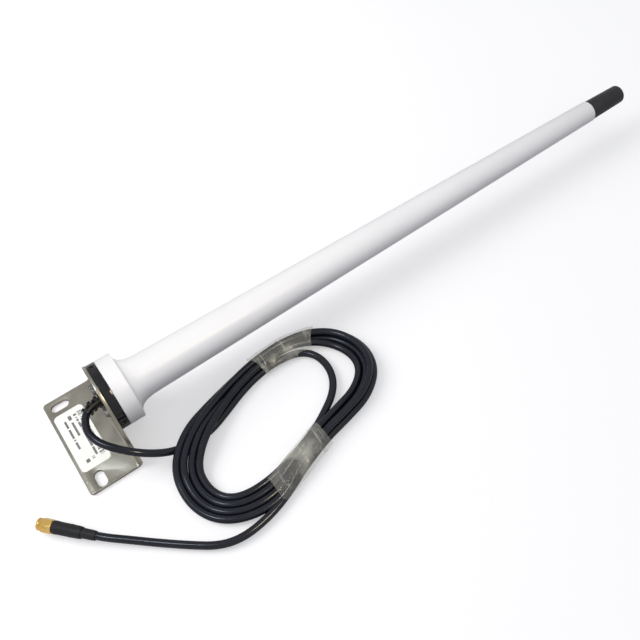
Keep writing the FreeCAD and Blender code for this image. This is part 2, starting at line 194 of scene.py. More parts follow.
# from the lower tape to the connector
leadOutRoute = [
    (96.0, -109.6, 2.85), (81.0, -116.0, 2.75), (66.0, -119.6, 2.65), (51.5, -120.4, 2.65),
    (38.5, -116.4, 2.65), (25.0, -106.0, 2.65), (8.0, -91.3, 2.8), (-2.6, -82.0, 3.7),
    (-13.2, -73.0, 4.7), (-19.5, -66.4, 4.8), (-28.6, -56.3, 4.8),
]
# the hank's middle line, and at each station every strand's place across it:
# offset outwards in mm with its row, from the innermost strand to the outermost
leftEnd = (-7.4, "bottomRow"), (-2.5, "bottomRow"), (2.5, "bottomRow"), (7.4, "bottomRow")
upperLimb = (-2.5, "topRow"), (0.0, "bottomRow"), (2.5, "topRow"), (5.0, "bottomRow")
rightEnd = (-5.1, "bottomRow"), (0.0, "bottomRow"), (2.6, "topRow"), (5.1, "bottomRow")
opening = (-4.2, "halfRow"), (0.0, "bottomRow"), (2.5, "topRow"), (5.0, "bottomRow")
lowerLimb = ((-5.0, "bottomRow"), (-2.5, "topRow"), (0.0, "bottomRow"), (2.5, "topRow"),
             (5.0, "bottomRow"))
hankStations = [
    (46.0, -62.0, ((-7.3, "halfRow"), (-2.4, "halfRow"), (2.6, "topRow"), (7.3, "topRow"))),
    (62.0, -46.0, ((-6.9, "hump"), (-2.1, "hump"), (2.6, "hump"), (7.1, "hump"))),
    (83.0, -35.5, ((-4.0, "topRow"), (-0.2, "halfRow"), (2.8, "topRow"), (5.6, "halfRow"))),
    (104.0, -28.0, upperLimb),
    (124.0, -23.5, upperLimb),
    (145.0, -22.5, upperLimb),
    (163.0, -27.0, opening),
    (176.0, -38.0, rightEnd),
    (182.0, -55.0, rightEnd),
    (178.0, -71.0, rightEnd),
    (164.0, -82.5, rightEnd),
    (146.0, -87.5, opening),
    (127.0, -91.5, lowerLimb),
    (105.0, -99.5, lowerLimb),
    (84.0, -106.5, leftEnd),
    (64.0, -105.5, leftEnd),
    (50.0, -97.0, leftEnd),
    (43.5, -81.0, leftEnd),
]
lowerTape = 12    # station where a strand comes under the lower tape and moves one place out


def acrossHank(station, offset, height):
    count = len(hankStations)
    before, here, after = (hankStations[(station + k) % count] for k in (-1, 0, 1))
    along = Vector((after[0] - before[0], after[1] - before[1])).normalized()
    return here[0] - along.y * offset, here[1] + along.x * offset, height


def strandPoint(station, place):
    offset, row = hankStations[station][2][place]
    return acrossHank(station, offset, cableSettings[row])


def cableRoute():
    route = list(leadInRoute) + list(innerTurnRoute)
    count = len(hankStations)
    for turn in range(cableSettings["turns"] + 1):
        # under the lower tape the strand still lies one place inside its next turn
        for station in (lowerTape, lowerTape + 1):
            route.append(strandPoint(station, turn))
        if turn == cableSettings["turns"]:
            break
        for step in range(lowerTape + 2, lowerTape + count):
            route.append(strandPoint(step % count, turn))
    return route + list(leadOutRoute)


def splineCurve(name, points, radius):
    data = bpy.data.curves.new(name, "CURVE")
    data.dimensions = "3D"
    spline = data.splines.new("NURBS")
    spline.points.add(len(points) - 1)
    for point, place in zip(spline.points, points):
        point.co = (place[0] * mm, place[1] * mm, place[2] * mm, 1)
    spline.order_u = 3
    spline.use_endpoint_u = True
    spline.resolution_u = 8
    data.bevel_depth = radius
    data.bevel_resolution = 6
    data.use_fill_caps = True
    piece = bpy.data.objects.new(name, data)
    bpy.context.collection.objects.link(piece)
    return piece


def linePoints(curve):
    # points along a curve that has no thickness yet
    depth = curve.data.bevel_depth
    curve.data.bevel_depth = 0
    bpy.context.view_layer.update()
    line = bpy.data.meshes.new_from_object(curve.evaluated_get(bpy.context.evaluated_depsgraph_get()))
    points = [vertex.co.copy() for vertex in line.vertices]
    bpy.data.meshes.remove(line)
    curve.data.bevel_depth = depth
    return points


def makeCable():
    route = cableRoute()
    cable = splineCurve("cable", route, cableSettings["diameter"] / 2)
    points = linePoints(cable)
    length = sum((b - a).length for a, b in zip(points, points[1:]))
    pick(cable)
    bpy.ops.object.convert(target="MESH")
    cable = bpy.context.object
    print("cable laid, length", round(length, 4), "m over", len(route), "points")
    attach(cable, "antenna")
    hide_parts("cable_lead_in", "cable_hank", "cable_inner_turn", "cable_lead_out")
    return cable, points, length


cable, cableLine, cableLength = makeCable()


def newGroup(name, inputs, outputs):
    tree = bpy.data.node_groups.new(name, "ShaderNodeTree")
    for label, kind, value in inputs:
        socket = tree.interface.new_socket(name=label, in_out="INPUT", socket_type="NodeSocket" + kind)
        if value is not None:
            socket.default_value = value
    for label, kind in outputs:
        tree.interface.new_socket(name=label, in_out="OUTPUT", socket_type="NodeSocket" + kind)
    return tree, tree.nodes.new("NodeGroupInput").outputs, tree.nodes.new("NodeGroupOutput").inputs


def addNode(tree, kind, sources=None, **settings):
    # sources: input socket name or number, with the socket or the value that feeds it
    made = tree.nodes.new("ShaderNode" + kind)
    for name, value in settings.items():
        setattr(made, name, value)
    for key, source in (sources or {}).items():
        if isinstance(source, bpy.types.NodeSocket):
            tree.links.new(source, made.inputs[key])
        else:
            made.inputs[key].default_value = source
    return made


def makeToneGroup():
    # soft patches between two colours
    tree, given, out = newGroup("softTone", [
        ("Vector", "Vector", None), ("Scale", "Float", 40.0), ("Contrast", "Float", 1.0),
        ("Dark", "Color", (0.4, 0.4, 0.4, 1)), ("Light", "Color", (0.6, 0.6, 0.6, 1)),
    ], [("Colour", "Color"), ("Value", "Float")])
    broad = addNode(tree, "TexNoise", {"Vector": given["Vector"], "Scale": given["Scale"],
                                       "Detail": 4.0, "Roughness": 0.55})
    centred = addNode(tree, "Math", {0: broad.outputs["Fac"], 1: 0.5}, operation="SUBTRACT")
    stretched = addNode(tree, "Math", {0: centred.outputs[0], 1: given["Contrast"], 2: 0.5},
                        operation="MULTIPLY_ADD", use_clamp=True)
    mixed = addNode(tree, "Mix", {0: stretched.outputs[0], 6: given["Dark"], 7: given["Light"]},
                    data_type="RGBA")
    tree.links.new(mixed.outputs[2], out["Colour"])
    tree.links.new(stretched.outputs[0], out["Value"])
    return tree


def makeGrainGroup():
    # fine pits and waves of a moulded or cast surface
    tree, given, out = newGroup("surfaceGrain", [
        ("Vector", "Vector", None), ("Scale", "Float", 900.0), ("Waviness", "Float", 0.5),
    ], [("Height", "Float"), ("Value", "Float")])
    fine = addNode(tree, "TexNoise", {"Vector": given["Vector"], "Scale": given["Scale"],
                                      "Detail": 3.0, "Roughness": 0.6})
    coarseScale = addNode(tree, "Math", {0: given["Scale"], 1: 0.12}, operation="MULTIPLY")
    coarse = addNode(tree, "TexNoise", {"Vector": given["Vector"], "Scale": coarseScale.outputs[0],
                                        "Detail": 2.0})
    both = addNode(tree, "Mix", {0: given["Waviness"], 2: fine.outputs["Fac"],
                                 3: coarse.outputs["Fac"]}, data_type="FLOAT")
    tree.links.new(both.outputs[0], out["Height"])
    tree.links.new(fine.outputs["Fac"], out["Value"])
    return tree


def makeScratchGroup():
    # sparse fine lines that run the long way of the stretched vector
    tree, given, out = newGroup("fineScratches", [
        ("Vector", "Vector", None), ("Scale", "Float", 400.0), ("Amount", "Float", 0.3),
    ], [("Mask", "Float"), ("Height", "Float")])
    lines = addNode(tree, "TexNoise", {"Vector": given["Vector"], "Scale": given["Scale"],
                                       "Detail": 5.0, "Roughness": 0.7})
    level = addNode(tree, "Math", {0: 0.72, 1: given["Amount"]}, operation="SUBTRACT")
    top = addNode(tree, "Math", {0: level.outputs[0], 1: 0.22}, operation="ADD")
    mask = addNode(tree, "MapRange", {"Value": lines.outputs["Fac"], "From Min": level.outputs[0],
                                      "From Max": top.outputs[0]})
    tree.links.new(mask.outputs[0], out["Mask"])
    tree.links.new(lines.outputs["Fac"], out["Height"])
    return tree


def makeCreaseGroup():
    # long soft ridges with a few sharp crests, as where thin film is pulled tight
    tree, given, out = newGroup("filmCreases", [
        ("Vector", "Vector", None), ("Scale", "Float", 220.0), ("Crest", "Float", 0.04),
    ], [("Height", "Float"), ("Mask", "Float")])
    warp = addNode(tree, "TexNoise", {"Vector": given["Vector"], "Scale": 90.0, "Detail": 2.0})
    bent = addNode(tree, "VectorMath", {0: warp.outputs["Color"], 1: (0.008, 0.008, 0.008)},
                   operation="MULTIPLY")
    moved = addNode(tree, "VectorMath", {0: given["Vector"], 1: bent.outputs[0]}, operation="ADD")
    ridges = addNode(tree, "TexNoise", {"Vector": moved.outputs[0], "Scale": given["Scale"],
                                        "Detail": 4.0, "Roughness": 0.5})
    off = addNode(tree, "Math", {0: ridges.outputs["Fac"], 1: 0.5}, operation="SUBTRACT")
    size = addNode(tree, "Math", {0: off.outputs[0]}, operation="ABSOLUTE")
    crest = addNode(tree, "MapRange", {"Value": size.outputs[0], "From Min": 0.0,
                                       "From Max": given["Crest"], "To Min": 1.0, "To Max": 0.0})
    gate = addNode(tree, "TexNoise", {"Vector": given["Vector"], "Scale": 130.0, "Detail": 2.0})
    gated = addNode(tree, "MapRange", {"Value": gate.outputs["Fac"], "From Min": 0.50,
                                       "From Max": 0.66})
    mask = addNode(tree, "Math", {0: crest.outputs[0], 1: gated.outputs[0]}, operation="MULTIPLY")
    height = addNode(tree, "Math", {0: crest.outputs[0], 1: 0.35, 2: ridges.outputs["Fac"]},
                     operation="MULTIPLY_ADD")
    tree.links.new(height.outputs[0], out["Height"])
    tree.links.new(mask.outputs[0], out["Mask"])
    return tree


def makePrintGroup():
    # one row of plain dashes or bars: 1 where there is ink
    tree, given, out = newGroup("printedRow", [
        ("Across", "Float", 0.0), ("Along", "Float", 0.0), ("Row", "Float", 0.0),
        ("Half", "Float", 0.5), ("Middle", "Float", 0.0), ("Reach", "Float", 10.0),
        ("Pitch", "Float", 1.0), ("Gaps", "Float", 0.3),
    ], [("Mask", "Float")])
    inRow = addNode(tree, "Math", {0: given["Across"], 1: given["Row"], 2: given["Half"]},
                    operation="COMPARE")
    inReach = addNode(tree, "Math", {0: given["Along"], 1: given["Middle"], 2: given["Reach"]},
                      operation="COMPARE")
    steps = addNode(tree, "Math", {0: given["Along"], 1: given["Pitch"]}, operation="DIVIDE")
    whole = addNode(tree, "Math", {0: steps.outputs[0]}, operation="FLOOR")
    shifted = addNode(tree, "Math", {0: whole.outputs[0], 1: given["Row"]}, operation="ADD")
    chance = addNode(tree, "TexWhiteNoise", {"W": shifted.outputs[0]}, noise_dimensions="1D")
    filled = addNode(tree, "Math", {0: chance.outputs["Value"], 1: given["Gaps"]},
                     operation="GREATER_THAN")
    area = addNode(tree, "Math", {0: inRow.outputs[0], 1: inReach.outputs[0]}, operation="MULTIPLY")
    mask = addNode(tree, "Math", {0: area.outputs[0], 1: filled.outputs[0]}, operation="MULTIPLY")
    tree.links.new(mask.outputs[0], out["Mask"])
    return tree


softTone = makeToneGroup()
surfaceGrain = makeGrainGroup()
fineScratches = makeScratchGroup()
filmCreases = makeCreaseGroup()
printedRow = makePrintGroup()
print("effect groups built")


def useGroup(tree, group, sources):
    made = tree.nodes.new("ShaderNodeGroup")
    made.node_tree = group
    for key, source in sources.items():
        if isinstance(source, bpy.types.NodeSocket):
            tree.links.new(source, made.inputs[key])
        else:
            made.inputs[key].default_value = source
    return made


# dark and light: the two colours of the soft patches; rough: least and most roughness;
# stretch: how much finer the grain is along x, y and z, even if not given; sockets: the
# shader's own values
finishes = {
    "radomeWhite": {
        "dark": (0.66, 0.655, 0.66), "light": (0.70, 0.695, 0.70), "patches": 22, "contrast": 1.3,
        "rough": (0.30, 0.44), "grain": 1500, "bump": 0.05, "scratches": 0.02,
        "sockets": {"IOR": 1.48},
    },
    "blackGloss": {
        "dark": (0.003, 0.003, 0.0035), "light": (0.008, 0.008, 0.0085), "patches": 120, "contrast": 2,
        "rough": (0.10, 0.17), "grain": 1200, "bump": 0.02, "scratches": 0.08,
        "stretch": (6, 1, 1), "sockets": {"IOR": 1.46},
    },
    "capSatin": {
        "dark": (0.006, 0.006, 0.0065), "light": (0.013, 0.013, 0.014), "patches": 150, "contrast": 2,
        "rough": (0.34, 0.5), "grain": 2200, "bump": 0.14, "scratches": 0.08,
        "sockets": {"IOR": 1.5},
    },
    "bootRubber": {
        "dark": (0.002, 0.002, 0.0025), "light": (0.006, 0.006, 0.0065), "patches": 260, "contrast": 2,
        "rough": (0.32, 0.48), "grain": 1800, "bump": 0.05, "scratches": 0.03,
        "sockets": {"IOR": 1.42},
    },
    "cableJacket": {
        "dark": (0.005, 0.0065, 0.011), "light": (0.011, 0.0135, 0.021), "patches": 90, "contrast": 1.8,
        "rough": (0.16, 0.24), "grain": 1400, "bump": 0.012, "scratches": 0.02,
        "sockets": {"IOR": 1.45, "Specular IOR Level": 0.5},
    },
    "shrinkMatte": {
        "dark": (0.006, 0.006, 0.007), "light": (0.014, 0.014, 0.015), "patches": 160, "contrast": 2,
        "rough": (0.46, 0.68), "grain": 1100, "bump": 0.22, "scratches": 0.06,
        "sockets": {"IOR": 1.46},
    },
    # stainless: its soft patches are partly smudges and partly painted reflection, dark and bright clouds of
    # the surroundings laid into the metal's own colour
    "stainless": {
        "dark": (0.30, 0.275, 0.215), "light": (0.56, 0.53, 0.44), "patches": 38, "contrast": 2.2,
        "rough": (0.26, 0.46), "grain": 500, "bump": 0.10, "scratches": 0.16,
        "stretch": (1, 9, 1), "sockets": {"Metallic": 1.0},
    },
    "fastenerSteel": {
        "dark": (0.14, 0.135, 0.13), "light": (0.36, 0.35, 0.335), "patches": 180, "contrast": 1.6,
        "rough": (0.16, 0.32), "grain": 1300, "bump": 0.1, "scratches": 0.2,
        "sockets": {"Metallic": 1.0},
    },
    "goldPlate": {
        "dark": (0.86, 0.50, 0.11), "light": (1.0, 0.70, 0.24), "patches": 300, "contrast": 1.8,
        "rough": (0.16, 0.34), "grain": 1500, "bump": 0.08, "scratches": 0.18,
        "stretch": (3, 3, 1), "sockets": {"Metallic": 1.0},
    },
    "crimpNickel": {
        "dark": (0.48, 0.46, 0.42), "light": (0.66, 0.64, 0.60), "patches": 240, "contrast": 1.6,
        "rough": (0.25, 0.42), "grain": 900, "bump": 0.2, "scratches": 0.2,
        "sockets": {"Metallic": 1.0},
    },
    "springBronze": {
        "dark": (0.48, 0.29, 0.15), "light": (0.66, 0.42, 0.23), "patches": 260, "contrast": 1.6,
        "rough": (0.25, 0.4), "grain": 1300, "bump": 0.08, "scratches": 0.15,
        "sockets": {"Metallic": 1.0},
    },
    "copperFoil": {
        "dark": (0.60, 0.27, 0.15), "light": (0.86, 0.47, 0.30), "patches": 60, "contrast": 1.8,
        "rough": (0.22, 0.44), "grain": 700, "bump": 0.08, "scratches": 0.15,
        "stretch": (1, 5, 1), "sockets": {"Metallic": 1.0},
    },
    "boardLaminate": {
        "dark": (0.10, 0.16, 0.075), "light": (0.17, 0.24, 0.11), "patches": 70, "contrast": 1.6,
        "rough": (0.35, 0.5), "grain": 1600, "bump": 0.12, "scratches": 0.05,
        "stretch": (6, 1, 1), "sockets": {"Coat Weight": 0.25, "Coat Roughness": 0.25},
    },
    "innerCoax": {
        "dark": (0.34, 0.17, 0.06), "light": (0.46, 0.25, 0.10), "patches": 90, "contrast": 1.6,
        "rough": (0.28, 0.4), "grain": 1200, "bump": 0.08, "scratches": 0.05,
        "stretch": (1, 6, 6), "sockets": {"Coat Weight": 0.2, "Coat Roughness": 0.2},
    },
    "ferriteGrey": {
        "dark": (0.035, 0.034, 0.033), "light": (0.075, 0.072, 0.070), "patches": 320, "contrast": 2,
        "rough": (0.45, 0.65), "grain": 1900, "bump": 0.3, "scratches": 0.05,
    },
    "naturalNylon": {
        "dark": (0.60, 0.57, 0.49), "light": (0.72, 0.69, 0.61), "patches": 60, "contrast": 1.5,
        "rough": (0.38, 0.52), "grain": 1300, "bump": 0.08, "scratches": 0.04,
        "sockets": {"IOR": 1.53},
    },
    "foamWhite": {
        "dark": (0.60, 0.60, 0.58), "light": (0.80, 0.80, 0.78), "patches": 420, "contrast": 2,
        "rough": (0.8, 0.95), "grain": 900, "bump": 0.6, "scratches": 0.0,
    },
    "sealRubber": {
        "dark": (0.010, 0.010, 0.010), "light": (0.022, 0.022, 0.022), "patches": 240, "contrast": 2,
        "rough": (0.45, 0.6), "grain": 1700, "bump": 0.12, "scratches": 0.04,
    },
    "siliconeRed": {
        "dark": (0.36, 0.06, 0.04), "light": (0.48, 0.10, 0.07), "patches": 300, "contrast": 1.6,
        "rough": (0.4, 0.55), "grain": 1500, "bump": 0.1, "scratches": 0.02,
    },
    "ptfeWhite": {
        "dark": (0.76, 0.75, 0.72), "light": (0.86, 0.85, 0.83), "patches": 300, "contrast": 1.4,
        "rough": (0.4, 0.55), "grain": 1400, "bump": 0.06, "scratches": 0.05,
    },
}


def startMaterial(name, sockets):
    material = bpy.data.materials.new(name)
    material.use_nodes = True
    tree = material.node_tree
    shader = tree.nodes["Principled BSDF"]
    for socket, value in sockets.items():
        shader.inputs[socket].default_value = value
    place = addNode(tree, "TexCoord").outputs["Object"]
    return material, tree, shader, place


def makeFinish(name):
    look = finishes[name]
    material, tree, shader, place = startMaterial(name, look.get("sockets", {}))
    stretched = addNode(tree, "Mapping", {
        "Vector": place, "Scale": look.get("stretch", (1, 1, 1))}).outputs[0]
    tone = useGroup(tree, softTone, {
        "Vector": place, "Scale": look["patches"], "Contrast": look["contrast"],
        "Dark": (*look["dark"], 1), "Light": (*look["light"], 1)})
    grain = useGroup(tree, surfaceGrain, {"Vector": stretched, "Scale": look["grain"]})
    scratch = useGroup(tree, fineScratches, {
        "Vector": stretched, "Scale": look["grain"] * 0.4, "Amount": look["scratches"]})
    tree.links.new(tone.outputs["Colour"], shader.inputs["Base Color"])
    low, high = look["rough"]
    base = addNode(tree, "MapRange", {"Value": grain.outputs["Value"], "From Min": 0.3,
                                      "From Max": 0.7, "To Min": low, "To Max": high})
    rough = addNode(tree, "Math", {0: scratch.outputs["Mask"], 1: 0.12, 2: base.outputs[0]},
                    operation="MULTIPLY_ADD", use_clamp=True)
    tree.links.new(rough.outputs[0], shader.inputs["Roughness"])
    height = addNode(tree, "Math", {0: scratch.outputs["Mask"], 1: -0.4, 2: grain.outputs["Height"]},
                     operation="MULTIPLY_ADD")
    bump = addNode(tree, "Bump", {"Strength": look["bump"], "Distance": 0.2 * mm,
                                  "Height": height.outputs[0]})
    tree.links.new(bump.outputs[0], shader.inputs["Normal"])
    return material


materials = {name: makeFinish(name) for name in finishes}

# rows of plain dashes and bars, mm: row centre along x, half height, middle and reach
# along y, pitch, share left blank
labelSettings = {
    "paper": (0.58, 0.59, 0.565), "paperLight": (0.64, 0.65, 0.62), "ink": (0.03, 0.03, 0.033),
    "rows": [
        (8.8, 1.6, 1.5, 20.0, 0.42, 0.42), (5.3, 0.75, 1.0, 17.0, 0.95, 0.2),
        (1.6, 0.75, 9.5, 6.0, 1.05, 0.2), (1.6, 1.1, 19.6, 1.9, 1.5, 0.3),
        (5.3, 1.1, 20.6, 1.3, 1.5, 0.2), (-2.3, 0.75, 6.5, 12.5, 1.15, 0.2),
        (-1.4, 1.3, -17.0, 1.4, 1.0, 0.2), (2.6, 0.9, -16.6, 1.0, 0.7, 0.3),
    ],
}


def makeLabelFilm():
    look = labelSettings
    material, tree, shader, place = startMaterial("labelFilm", {"Coat Weight": 0.15,
                                                                "Coat Roughness": 0.25})
    scaled = addNode(tree, "VectorMath", {0: place, 1: (1000, 1000, 1000)}, operation="MULTIPLY")
    split = addNode(tree, "SeparateXYZ", {0: scaled.outputs[0]})
    ink = None
    for row, half, middle, reach, pitch, gaps in look["rows"]:
        mask = useGroup(tree, printedRow, {
            "Across": split.outputs["X"], "Along": split.outputs["Y"], "Row": row, "Half": half,
            "Middle": middle, "Reach": reach, "Pitch": pitch, "Gaps": gaps}).outputs[0]
        if ink:
            mask = addNode(tree, "Math", {0: ink, 1: mask}, operation="MAXIMUM").outputs[0]
        ink = mask
    tone = useGroup(tree, softTone, {"Vector": place, "Scale": 90.0, "Contrast": 1.5,
                                     "Dark": (*look["paper"], 1), "Light": (*look["paperLight"], 1)})
    worn = addNode(tree, "TexNoise", {"Vector": place, "Scale": 1500.0, "Detail": 2.0})
    strength = addNode(tree, "MapRange", {"Value": worn.outputs["Fac"], "From Min": 0.3,
                                          "From Max": 0.6, "To Min": 0.7, "To Max": 0.92})
    inked = addNode(tree, "Math", {0: ink, 1: strength.outputs[0]}, operation="MULTIPLY")
    colour = addNode(tree, "Mix", {0: inked.outputs[0], 6: tone.outputs["Colour"],
                                   7: (*look["ink"], 1)}, data_type="RGBA")
    tree.links.new(colour.outputs[2], shader.inputs["Base Color"])
    rough = addNode(tree, "MapRange", {"Value": inked.outputs[0], "To Min": 0.42, "To Max": 0.3})
    tree.links.new(rough.outputs[0], shader.inputs["Roughness"])
    grain = useGroup(tree, surfaceGrain, {"Vector": place, "Scale": 900.0})
    bump = addNode(tree, "Bump", {"Strength": 0.08, "Distance": 0.1 * mm,
                                  "Height": grain.outputs["Height"]})
    tree.links.new(bump.outputs[0], shader.inputs["Normal"])
    return material


filmSettings = {
    "dark": (0.34, 0.34, 0.32), "light": (0.50, 0.49, 0.43),
    "clear": 0.10, "cloudy": 0.25, "creased": 0.4, "creases": 110.0, "bump": 0.5,
}


def makeTapeFilm():
    look = filmSettings
    material, tree, shader, place = startMaterial("clearFilm", {"IOR": 1.5})
    stretched = addNode(tree, "Mapping", {"Vector": place, "Scale": (1.0, 0.16, 0.5),
                                          "Rotation": (0, 0, 0.75)}).outputs[0]
    crease = useGroup(tree, filmCreases, {"Vector": stretched, "Scale": look["creases"],
                                          "Crest": 0.025})
    tone = useGroup(tree, softTone, {"Vector": place, "Scale": 36.0, "Contrast": 3.0,
                                     "Dark": (*look["dark"], 1), "Light": (*look["light"], 1)})
    tree.links.new(tone.outputs["Colour"], shader.inputs["Base Color"])
    patch = addNode(tree, "MapRange", {"Value": tone.outputs["Value"], "From Min": 0.55,
                                       "From Max": 1.0})
    cloudy = addNode(tree, "Math", {0: patch.outputs[0], 1: look["cloudy"], 2: look["clear"]},
                     operation="MULTIPLY_ADD")
    alpha = addNode(tree, "Math", {0: crease.outputs["Mask"], 1: look["creased"],
                                   2: cloudy.outputs[0]}, operation="MULTIPLY_ADD", use_clamp=True)
    tree.links.new(alpha.outputs[0], shader.inputs["Alpha"])
    rough = addNode(tree, "MapRange", {"Value": tone.outputs["Value"], "To Min": 0.07,
                                       "To Max": 0.2})
    tree.links.new(rough.outputs[0], shader.inputs["Roughness"])
    bump = addNode(tree, "Bump", {"Strength": look["bump"], "Distance": 0.6 * mm,
                                  "Height": crease.outputs["Height"]})
    tree.links.new(bump.outputs[0], shader.inputs["Normal"])
    return material


materials["labelFilm"] = makeLabelFilm()
materials["clearFilm"] = makeTapeFilm()
print("finishes built:", len(materials))


def coat(piece, finish):
    piece.data.materials.clear()
    piece.data.materials.append(materials[finish])


nodeFinishes = {
    "bracket": "stainless", "rating_label": "labelFilm", "flange_screws": "fastenerSteel",
    "flange_washers": "fastenerSteel", "base_cap": "blackGloss", "base_seal": "sealRubber",
    "radome": "radomeWhite", "tip_cap": "capSatin", "strain_relief": "bootRubber",
    "feed_ferrule": "crimpNickel", "feed_coax": "innerCoax", "ferrite_choke": "ferriteGrey",
    "board_holder": "naturalNylon", "radiator_board": "boardLaminate",
    "radiator_copper": "copperFoil", "foam_spacers": "foamWhite", "tape_upper": "clearFilm",
    "tape_lower": "clearFilm", "heat_shrink_large": "shrinkMatte",
    "heat_shrink_small": "shrinkMatte", "crimp_ferrule": "crimpNickel",
    "connector_body": "goldPlate", "coupling_nut": "goldPlate", "nut_snap_ring": "springBronze",
    "connector_gasket": "siliconeRed", "ptfe_insulator": "ptfeWhite", "centre_pin": "goldPlate",
}
for nodeName, finish in nodeFinishes.items():
    for materialSlot in nodes[nodeName].material_slots:
        materialSlot.material = materials[finish]
coat(cable, "cableJacket")


def finishPiece(piece, finish, slot, body, *replaced):
    coat(piece, finish)
    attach(piece, body)
    if replaced:
        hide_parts(*replaced)
    return piece


# collar, concave flare and long tapered tube in one moulding, mm
radomeSettings = {
    "collarLength": 10.7, "collarBore": 20.6, "shoulderR": 20.8, "flareLength": 14.5,
    "flareSteps": 18, "tubeRootR": 13.9, "tubeTipR": 7.75, "rootWall": 2.2, "tipWall": 1.5,
    "edge": 0.55,
}


def flarePoint(t, start, end):
    # concave curve from the shoulder to the tube: x and radius at t from 0 to 1
    look = radomeSettings
    poles = [(start, look["shoulderR"]), (start + 0.6, 15.9), (start + 5.5, look["tubeRootR"] + 0.15),
             (end, look["tubeRootR"])]
    weights = [(1 - t) ** 3, 3 * t * (1 - t) ** 2, 3 * t * t * (1 - t), t ** 3]
    return tuple(sum(w * pole[k] for w, pole in zip(weights, poles)) for k in (0, 1))


def makeRadome():
    look = radomeSettings
    start, end = radomeLow.x / mm, radomeHigh.x / mm
    shoulder = start + look["collarLength"]
    flareEnd = shoulder + look["flareLength"]
    outer = baseR / mm
    outline = [(start, look["collarBore"]), (start, outer), (shoulder, outer)]
    steps = look["flareSteps"]
    outline += [flarePoint(i / steps, shoulder, flareEnd) for i in range(steps + 1)]
    outline += [(end, look["tubeTipR"]), (end, look["tubeTipR"] - look["tipWall"]),
                (flareEnd, look["tubeRootR"] - look["rootWall"]), (shoulder + 0.5, 14.0),
                (shoulder - 1.7, 17.0), (shoulder - 1.7, look["collarBore"]),
                (start, look["collarBore"])]
    shell = lathe("radome_shell", outline, mastStart, mastDirection, steps=128)
    roundEdges(shell, look["edge"] * mm, segments=4, degrees=40)
    smooth(shell, 40)
    return finishPiece(shell, "radomeWhite", "radome_white", "antenna", "radome")


makeRadome()
print("radome made")

# black ring with a plug into the collar and latch pockets in its rim, mm and degrees
baseSettings = {
    "ringDepth": 6.0, "plugR": 20.0, "plugBore": 17.0, "plugDepth": 8.0, "hole": 5.0,
    "seat": 6.6, "seatDepth": 2.2, "grooveR": 18.4, "pocketDepth": 1.2, "pocketAngles": (-23, 97, 217),
    "pocketHalf": 6.2, "edge": 0.35,
}


def makeBaseRing():
    look = baseSettings
    start, ring = capLow.x / mm, capLow.x / mm + look["ringDepth"]
    outer = baseR / mm
    outline = [
        (start, look["hole"]), (start, outer), (start + 1.4, outer), (start + 4.4, outer),
        (ring, outer), (ring, look["plugR"]), (ring + 2.6, look["plugR"]),
        (ring + 2.6, look["grooveR"]), (ring + 5.0, look["grooveR"]), (ring + 5.0, look["plugR"]),
        (ring + look["plugDepth"], look["plugR"]), (ring + look["plugDepth"], look["plugBore"]),
        (ring, look["plugBore"]), (ring, look["seat"]), (ring - look["seatDepth"], look["seat"]),
        (ring - look["seatDepth"], look["hole"]), (start, look["hole"]),
    ]
    piece = lathe("base_ring", outline, mastStart, mastDirection, steps=120)

    def inPocket(centre, normal):
        x, up = centre.x / mm - start, centre.z - axisZ
        if not 1.4 < x < 4.4 or math.hypot(centre.y, up) < 0.99 * baseR:
            return False
        turn = math.degrees(math.atan2(-centre.y, up))
        return any(abs((turn - a + 180) % 360 - 180) < look["pocketHalf"] for a in look["pocketAngles"])

    selectFaces(piece, inPocket)
    bpy.ops.mesh.inset(thickness=0.25 * mm, depth=-0.1 * mm)
    bpy.ops.mesh.inset(thickness=0.02 * mm, depth=-look["pocketDepth"] * mm)
    bpy.ops.mesh.inset(thickness=0.55 * mm, depth=0.0)
    bpy.ops.mesh.inset(thickness=0.05 * mm, depth=0.6 * mm)
    bpy.ops.object.mode_set(mode="OBJECT")
    roundEdges(piece, look["edge"] * mm, segments=3, degrees=60)
    smooth(piece, 40)
    return finishPiece(piece, "blackGloss", "black_gloss_plastic", "antenna", "base_cap")


makeBaseRing()
print("base ring made")

# cap plugged into the end of the tube, mm
tipSettings = {
    "plugDepth": 12.0, "plugBore": 3.5, "plugR": 6.22, "rootR": 7.35, "endR": 6.75,
    "endRound": 2.6, "dimpleR": 1.6, "dimple": 0.35,
}


def makeTipCap():
    look = tipSettings
    joint, end = radomeHigh.x / mm, tipHigh.x / mm
    radius, rounding = look["endR"], look["endRound"]
    arc = [(end - rounding + rounding * math.sin(a), radius - rounding + rounding * math.cos(a))
           for a in (math.radians(9 * i) for i in range(11))]
    outline = [(joint - look["plugDepth"], look["plugBore"]), (joint - look["plugDepth"], look["plugR"]),
               (joint, look["plugR"]), (joint, look["rootR"]), *arc, (end, look["dimpleR"]),
               (end - look["dimple"], look["dimpleR"] - 0.4), (end - look["dimple"], 0)]
    inner = [(end - 2.0, 0), (end - 2.0, look["plugBore"]), (joint - look["plugDepth"], look["plugBore"])]
    cap = lathe("tip_cap_shell", outline, mastStart, mastDirection, steps=96)
    lining = lathe("tip_cap_bore", inner, mastStart, mastDirection, steps=96)
    pick(lining)
    bpy.ops.object.mode_set(mode="EDIT")
    bpy.ops.mesh.select_all(action="SELECT")
    bpy.ops.mesh.flip_normals()
    bpy.ops.object.mode_set(mode="OBJECT")
    pick(cap)
    lining.select_set(True)
    bpy.ops.object.join()
    bpy.ops.object.mode_set(mode="EDIT")
    bpy.ops.mesh.select_all(action="SELECT")
    bpy.ops.mesh.remove_doubles(threshold=0.001 * mm)
    bpy.ops.mesh.normals_make_consistent(inside=False)
    bpy.ops.object.mode_set(mode="OBJECT")
    roundEdges(cap, 0.25 * mm, segments=3, degrees=50)
    smooth(cap, 40)
    return finishPiece(cap, "capSatin", "black_satin_plastic", "antenna", "tip_cap")


makeTipCap()
print("tip cap made")


